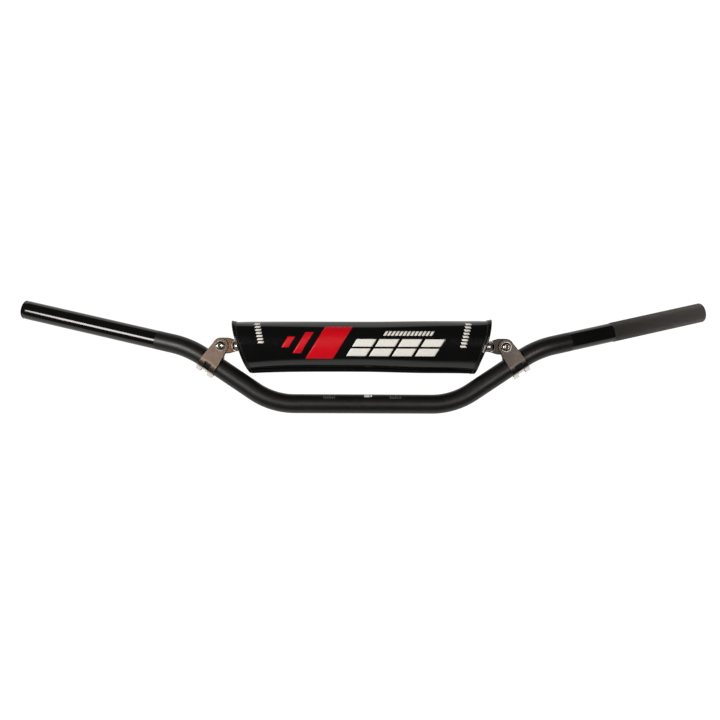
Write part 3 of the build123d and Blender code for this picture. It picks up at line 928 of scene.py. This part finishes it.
def stitches(name, line, out, pitch, finish, body="pad"):
    """A row of thread stitches along a line, each one sunk at its ends."""
    line = np.asarray(line)
    steps = np.linalg.norm(np.diff(line, axis=0), axis=1)
    reach = np.concatenate([[0], np.cumsum(steps)])
    out = np.asarray(out) * np.ones_like(line)
    points, faces = [], []
    sides, length, radius = 6, 0.78 * pitch, 0.3 * MM
    shape = [(-0.5, 0.35, -0.3), (-0.3, 0.85, 0.0), (0.0, 1.0, 0.1), (0.3, 0.85, 0.0), (0.5, 0.35, -0.3)]

    def at(distance, values):
        return np.array([np.interp(distance, reach, values[:, n]) for n in range(3)])

    for centre in np.arange(pitch, reach[-1] - pitch / 2, pitch):
        here, next_to, up = at(centre, line), at(centre + length / 4, line), at(centre, out)
        heading = (next_to - here) / np.linalg.norm(next_to - here)
        side = np.cross(heading, up)
        first = len(points)
        for place, fat, lift in shape:
            for angle in np.linspace(0, 2 * math.pi, sides, endpoint=False):
                ring = side * math.cos(angle) + up * math.sin(angle)
                points.append(here + heading * place * length + (ring * fat + up * lift) * radius)
        faces += capped_faces(len(shape), sides, first)
    row = outward_faces(make_piece(name, points, faces, [finish], sharp=70))
    return settle(row, body)


def lower_seam(grid):
    """The seam allowance that stands out along the cover's lower front edge, sewn flat."""
    middle = grid[ALONG // 2]
    columns = np.flatnonzero(middle[:, 1] < -10 * MM)[::-1]
    start = np.interp(SEAM_Z, middle[columns, 2], columns)
    lower = smooth_step(np.linspace(-1, 1, ALONG), 0, 0.7)[2:-2]
    column = start + 1.45 * lower
    whole = column.astype(int)
    share = (column - whole)[:, None]
    rows = np.arange(2, ALONG - 2)
    line = grid[rows, whole] * (1 - share) + grid[rows, whole + 1] * share
    reach = 4.5 - 1.6 * lower + 0.1 * np.sin(np.linspace(0, 9, len(line)))
    profile = [
        (-0.3, 0.1), (0.0, 0.5), (1.2, 0.75), (3.8, 0.8), (5.2, 0.7),
        (5.6, 0.1), (5.2, -1.4), (1.0, -1.6), (-0.3, -1.4),
    ]
    down = np.array((0, 0.14, -0.99)) * (reach / max(x for x, _ in profile))[:, None]
    front = np.array((0, -0.99, -0.14)) * np.ones_like(line)
    seam = sweep_profile("lower_seam_allowance", line, down, front, profile, VINYL)
    settle(seam, "pad")


def foam_core():
    """Open-cell foam round the crossbar, slit at the back, with slightly crowned ends."""
    outer = section_path(BOLT_Z - FOAM_SLIT / 2, BOLT_Z + FOAM_SLIT / 2, COVER_THICKNESS + 0.3 * MM)
    around, deep, long = 61, 7, 41
    hole = FOAM_HOLE_RADIUS
    gap = math.asin(FOAM_SLIT / 2 / hole)
    angles = np.linspace(gap, 2 * math.pi - gap, around)
    rough = np.random.default_rng(7).normal(0, 0.18 * MM, (2, around, deep))

    def place(end, j, k, u):
        rim, _ = outer.at(outer.length * j / (around - 1))
        core = Vector((0, CROSSBAR_Y + hole * math.cos(angles[j]), BOLT_Z + hole * math.sin(angles[j])))
        share = k / (deep - 1)
        point = rim.lerp(core, share)
        half = pad_half_length(point.z) - 3.5 * MM
        crown = 1.8 * MM * math.sin(math.pi * share) + (rough[end, j, k] if 0 < k < deep - 1 else 0)
        return Vector((PAD_X + u * (half + crown * abs(u) ** 30), point.y, point.z))

    loop = rim_cells(around, deep)
    points = [place(1, j, k, u) for u in np.linspace(-1, 1, long) for j, k in loop]
    faces = grid_faces(long, len(loop), wrap_columns=True)
    for end, u, first in ((0, -1, 0), (1, 1, (long - 1) * len(loop))):
        index = {cell: first + n for n, cell in enumerate(loop)}
        for j in range(1, around - 1):
            for k in range(1, deep - 1):
                index[(j, k)] = len(points)
                points.append(place(end, j, k, u))
        for j in range(around - 1):
            for k in range(deep - 1):
                faces.append((index[j, k], index[j + 1, k], index[j + 1, k + 1], index[j, k + 1]))
    core = outward_faces(make_piece("pad_foam", points, faces, [foam()], sharp=60))
    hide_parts("pad_foam_core")
    return settle(core, "pad")


# ---- closure at the back

def hook_and_loop():
    pile = nylon_pile("loop_pile", (0.006, 0.006, 0.006), (0.03, 0.03, 0.03), 0.35 * MM)
    tape = nylon_pile("hook_tape", (0.008, 0.008, 0.008), (0.02, 0.02, 0.02), 0.5 * MM)
    low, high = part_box("loop_strip")
    loop = pile_strip("loop_strip_pile", low, high, pile, 1)
    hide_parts("loop_strip")
    settle(loop, "pad")
    low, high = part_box("hook_strip")
    strip = pile_strip("hook_strip_tape", Vector((low.x, high.y - 0.5 * MM, low.z)), high, tape, -1)
    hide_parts("hook_strip")
    settle(strip, "flap")
    settle(hooks(low, high, tape), "flap")


def pile_strip(name, low, high, finish, facing):
    """A woven tape with rounded edges and a rough face towards the other half."""
    rng = np.random.default_rng(11)
    across, along = 13, 200
    points = []
    for side in (0, 1):
        rough = side if facing > 0 else 1 - side
        for x in np.linspace(low.x, high.x, along):
            for z in np.linspace(low.z, high.z, across):
                edge = min(z - low.z, high.z - z, x - low.x, high.x - x)
                inset = 0.25 * (high.y - low.y) * math.exp(-edge / (0.4 * MM))
                fuzz = rng.uniform(0, 0.22 * MM) if rough and edge > 0.5 * MM else 0
                y = low.y + inset + (0 if facing > 0 else fuzz)
                if side:
                    y = high.y - inset - (fuzz if facing > 0 else 0)
                points.append((x, y, z))
    size = across * along
    faces = grid_faces(along, across) + grid_faces(along, across, first=size)
    rim = [i * across + j for i, j in rim_cells(along, across)]
    for a, b in zip(rim, rim[1:] + rim[:1]):
        faces.append((a, b, b + size, a + size))
    return outward_faces(make_piece(name, points, faces, [finish], sharp=60))


def hooks(low, high, finish):
    """Rows of small bent hooks on the flap's tape."""
    points, faces = [], []
    thick, sides = 0.13 * MM, 4
    base = high.y - 0.5 * MM
    bend = [(0, 0), (0, 0.3), (0.06, 0.48), (0.2, 0.56), (0.34, 0.5), (0.38, 0.38)]
    for column, x in enumerate(np.arange(low.x + 2 * MM, high.x - 2 * MM, 1.9 * MM)):
        for z in np.arange(low.z + 1.5 * MM, high.z - 1 * MM, 1.7 * MM):
            turn = 1 if column % 2 else -1
            first = len(points)
            for n, (lean, rise) in enumerate(bend):
                centre = Vector((x + turn * lean * MM, base - rise * MM, z))
                fat = thick * (1 - 0.5 * n / len(bend))
                for k in range(sides):
                    angle = 2 * math.pi * k / sides
                    points.append(centre + Vector((fat * math.cos(angle), 0, fat * math.sin(angle))))
            faces += capped_faces(len(bend), sides, first)
    return outward_faces(make_piece("hook_strip_hooks", points, faces, [finish], sharp=60))


def closure_flap():
    """The vinyl flap: sewn to the cover above its hinge, bowed over the strips, loose at its edge."""
    back = PAD_BACK_Y
    side_view = np.array([
        (0.15, 84.5), (0.2, 82), (0.4, FLAP_HINGE_Z / MM), (1.4, 76.2), (2.5, 73),
        (2.62, 64), (2.62, 55), (2.6, 48), (2.35, 45.6),
    ]) * MM
    along = 91
    rows = []
    for n, (y, z) in enumerate(side_view + (back, 0)):
        loose = smooth_step(-z, -66 * MM, -45 * MM)
        for x in np.linspace(-1, 1, along):
            corner = 1.2 * MM * max(0, abs(x) - 0.985) / 0.015 * (n == len(side_view) - 1)
            wave = 0.16 * MM * loose * (math.sin(17 * x) + 0.6 * math.sin(31 * x + 1))
            rows.append((PAD_X + x * (FLAP_HALF_LENGTH - 0.4 * MM * loose), y + abs(wave), z + corner))
    flap = make_piece("closure_flap_vinyl", rows, grid_faces(len(side_view), along), [VINYL], sharp=60)
    if flap.data.polygons[0].normal.y < 0:
        flap.data.flip_normals()
    thicken(flap, FLAP_THICKNESS, 1, levels=2)
    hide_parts("closure_flap")
    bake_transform(flap)
    for name, z, proud, body in (
        ("flap_top_stitches", 82.6, 1.32, "pad"),
        ("flap_strip_upper_stitches", 62.2, 3.76, "flap"),
        ("flap_strip_lower_stitches", 49.8, 3.76, "flap"),
    ):
        ends = [PAD_X - STRIP_HALF_LENGTH + 1 * MM, PAD_X + STRIP_HALF_LENGTH - 1 * MM]
        line = np.array([(x, back + proud * MM, z * MM) for x in np.linspace(*ends, 60)])
        stitches(name, line, (0.0, 1.0, 0.0), 3.2 * MM, BLACK_THREAD, body)


# ---- printed shapes

def printed(name, outlines, surface, finish):
    """Flat shapes of (x, z) corners laid on the cover's front as a thin film that follows it."""
    points, faces = [], []
    proud = 0.05 * MM
    for corners in outlines:
        (ax, az), (bx, bz), (cx, cz), (dx, dz) = corners
        columns = max(2, round(math.hypot(bx - ax, bz - az) / (2 * MM)) + 1)
        rows = max(2, round(math.hypot(dx - ax, dz - az) / (1.2 * MM)) + 1)
        first = len(points)
        for v in np.linspace(0, 1, rows):
            for u in np.linspace(0, 1, columns):
                x = (ax * (1 - u) + bx * u) * (1 - v) + (dx * (1 - u) + cx * u) * v
                z = (az * (1 - u) + bz * u) * (1 - v) + (dz * (1 - u) + cz * u) * v
                hit, normal, _, _ = surface.ray_cast(Vector((x, -0.2, z)), Vector((0, 1, 0)))
                points.append(hit + (normal if normal.y < 0 else -normal) * proud)
        faces += grid_faces(rows, columns, first=first)
    film = make_piece(name, points, faces, [finish], sharp=80)
    if film.data.polygons[0].normal.y > 0:
        film.data.flip_normals()
    thicken(film, 0.8 * proud, -1)
    return settle(film, "pad")


def slanted(x, z, width, height, lean):
    """A leaning parallelogram by its lower left corner, in millimetres."""
    corners = [(x, z), (x + width, z), (x + width + lean, z + height), (x + lean, z + height)]
    return [(a * MM, b * MM) for a, b in corners]


def front_print(surface):
    """Speed blocks in red, a broken band in white, a row of hatches, and ladders at the ends."""
    slope = 0.62
    red = [slanted(-66, 52.2, 31.5, 37, 37 * slope)]
    red += [slanted(-80.5, 58.5, 9.5, 24, 24 * slope), slanted(-93.3, 65.0, 8.5, 12.5, 12.5 * slope)]
    printed("print_red_blocks", red, surface, RED_INK)
    white = []
    for n in range(4):
        left = -19.5 + 26.0 * n
        white += [slanted(left, 55.5, 22.6, 8.6, 8.6 * slope)]
        white += [slanted(left + 10.8 * slope, 66.3, 22.6, 8.6, 8.6 * slope)]
    printed("print_white_band", white, surface, WHITE_INK)
    hatches = [slanted(22.5 + 4.35 * n, 78.8, 3.0, 5.2, 5.2 * slope) for n in range(13)]
    printed("print_white_hatches", hatches, surface, WHITE_INK)
    ladder = []
    for n in range(7):
        ladder.append(slanted(-124.7 + 0.8 * n, 90.9 - 3.55 * n, 6.4, 2.3, 1.0))
    for n in range(8):
        ladder.append(slanted(117.2 - 0.94 * n, 91.4 - 3.7 * n, 6.6, 2.4, -1.0))
    printed("print_end_ladders", ladder, surface, WHITE_INK)


def painted_highlight_tack(surface):
    """A short bar tack in pale thread on the clutch hem only, beside the crossbar: stitches whose pale
    colour is a painted highlight standing in for a light streak on that hem.
    """
    for row in range(3):
        line = []
        for z in np.linspace(59 * MM, 68.5 * MM, 14):
            x = PAD_X + pad_half_length(z, 1) - (1.7 + 0.55 * row) * MM
            line.append((x, PAD_FRONT_Y - 0.5 * MM, z + 0.3 * row * MM))
        name = "clutch_hem_bar_tack_" + "abc"[row]
        stitches(name, np.array(line), (0.0, -1.0, 0.0), 1.5 * MM, HIGHLIGHT_THREAD)


# ---- studio

def soft_box(name, place, target, width, height, power):
    light = bpy.data.lights.new(name, "AREA")
    light.shape = "RECTANGLE"
    light.size, light.size_y = width, height
    light.energy, light.color = power, (1, 0.97, 0.935)
    box = add_object(name, light)
    box.location = place
    box.rotation_euler = (Vector(target) - Vector(place)).to_track_quat("-Z", "Y").to_euler()
    box.visible_camera = False


def studio():
    """White behind and below the object, dark on the camera's side, and two soft boxes in front."""
    scene = bpy.context.scene
    scene.view_settings.view_transform = "Standard"
    world = bpy.data.worlds.new("studio")
    scene.world = world
    world.use_nodes = True
    tree = world.node_tree
    tree.nodes.clear()
    link = tree.links.new

    def add(kind, **inputs):
        node = tree.nodes.new("ShaderNode" + kind)
        for socket, value in inputs.items():
            node.inputs[socket.replace("_", " ")].default_value = value
        return node

    direction = add("TexCoord")
    parts = add("SeparateXYZ")
    link(direction.outputs["Generated"], parts.inputs["Vector"])
    tilt = add("Math")
    tilt.operation = "MULTIPLY_ADD"
    tilt.inputs[1].default_value = -0.2
    link(parts.outputs["Z"], tilt.inputs[0])
    link(parts.outputs["Y"], tilt.inputs[2])
    edge = add("MapRange", From_Min=-0.07, From_Max=0.07, To_Min=0.05, To_Max=0.8)
    link(tilt.outputs[0], edge.inputs["Value"])
    lit = add("Background", Color=(1.0, 0.985, 0.96, 1))
    link(edge.outputs["Result"], lit.inputs["Strength"])
    seen = add("Background", Color=(1, 1, 1, 1), Strength=1.05)
    ray = add("LightPath")
    mix = add("MixShader")
    link(ray.outputs["Is Camera Ray"], mix.inputs["Fac"])
    link(lit.outputs["Background"], mix.inputs[1])
    link(seen.outputs["Background"], mix.inputs[2])
    result = add("OutputWorld")
    link(mix.outputs["Shader"], result.inputs["Surface"])
    pad_centre = (0, -0.02, 0.06)
    soft_box("left_box", (-1.04, -1.34, 0.03), (-0.23, 0.045, 0.04), 1.16, 0.49, 25)
    soft_box("right_box", (0.67, -1.51, 0.025), pad_centre, 0.44, 0.55, 7.9)


def pale_floor():
    """A wide pale floor well below the object."""
    size, depth = 30.0, cad_low.z - 0.30
    corners = [(-size, -size, depth), (size, -size, depth), (size, size, depth), (-size, size, depth)]
    finish = Finish("floor_white", Emission_Color=(1, 1, 1, 1), Emission_Strength=0.97, Roughness=0.9)
    finish.colour(finish.noise(0.4), (0.05, 0.05, 0.05), (0.06, 0.06, 0.06))
    floor = make_piece("pale_floor", corners, [(0, 1, 2, 3)], [finish])
    floor.visible_glossy = False
    floor.visible_diffuse = False


def camera():
    """Level with the pad, straight in front, rolled a quarter of a degree."""
    lens = bpy.data.cameras.new("front_camera")
    sensor, pixels_per_mm, width_in_pixels = 36.0, 0.86, 720
    place = (-0.0037, -1.4, 0.05105)
    lens.sensor_width = sensor
    lens.lens = sensor * pixels_per_mm * -place[1] / MM / width_in_pixels
    lens.clip_end = 100
    body = add_object("front_camera", lens)
    body.location = place
    body.rotation_euler = (math.radians(90), math.radians(-0.25), 0)
    bpy.context.scene.camera = body


camera()
handlebar_tube()
tube_marks()
crossbar()
refinish_metal()
SCREW = zinc("screw_zinc", (0.2, 0.185, 0.16), (0.32, 0.3, 0.27), (0.16, 0.24), 3 * MM)
for side_name, side in SIDES:
    clamp_screw(side_name, side, SCREW)
shape = cover_grid()
shape = inflate(shape)
shape = crease(shape)
cover_surface = surface_of(pad_cover(shape))
for side_name, side in SIDES:
    end_hem(shape, side_name, side)
lower_seam(shape)
foam_core()
hook_and_loop()
closure_flap()
front_print(cover_surface)
painted_highlight_tack(cover_surface)
studio()
pale_floor()
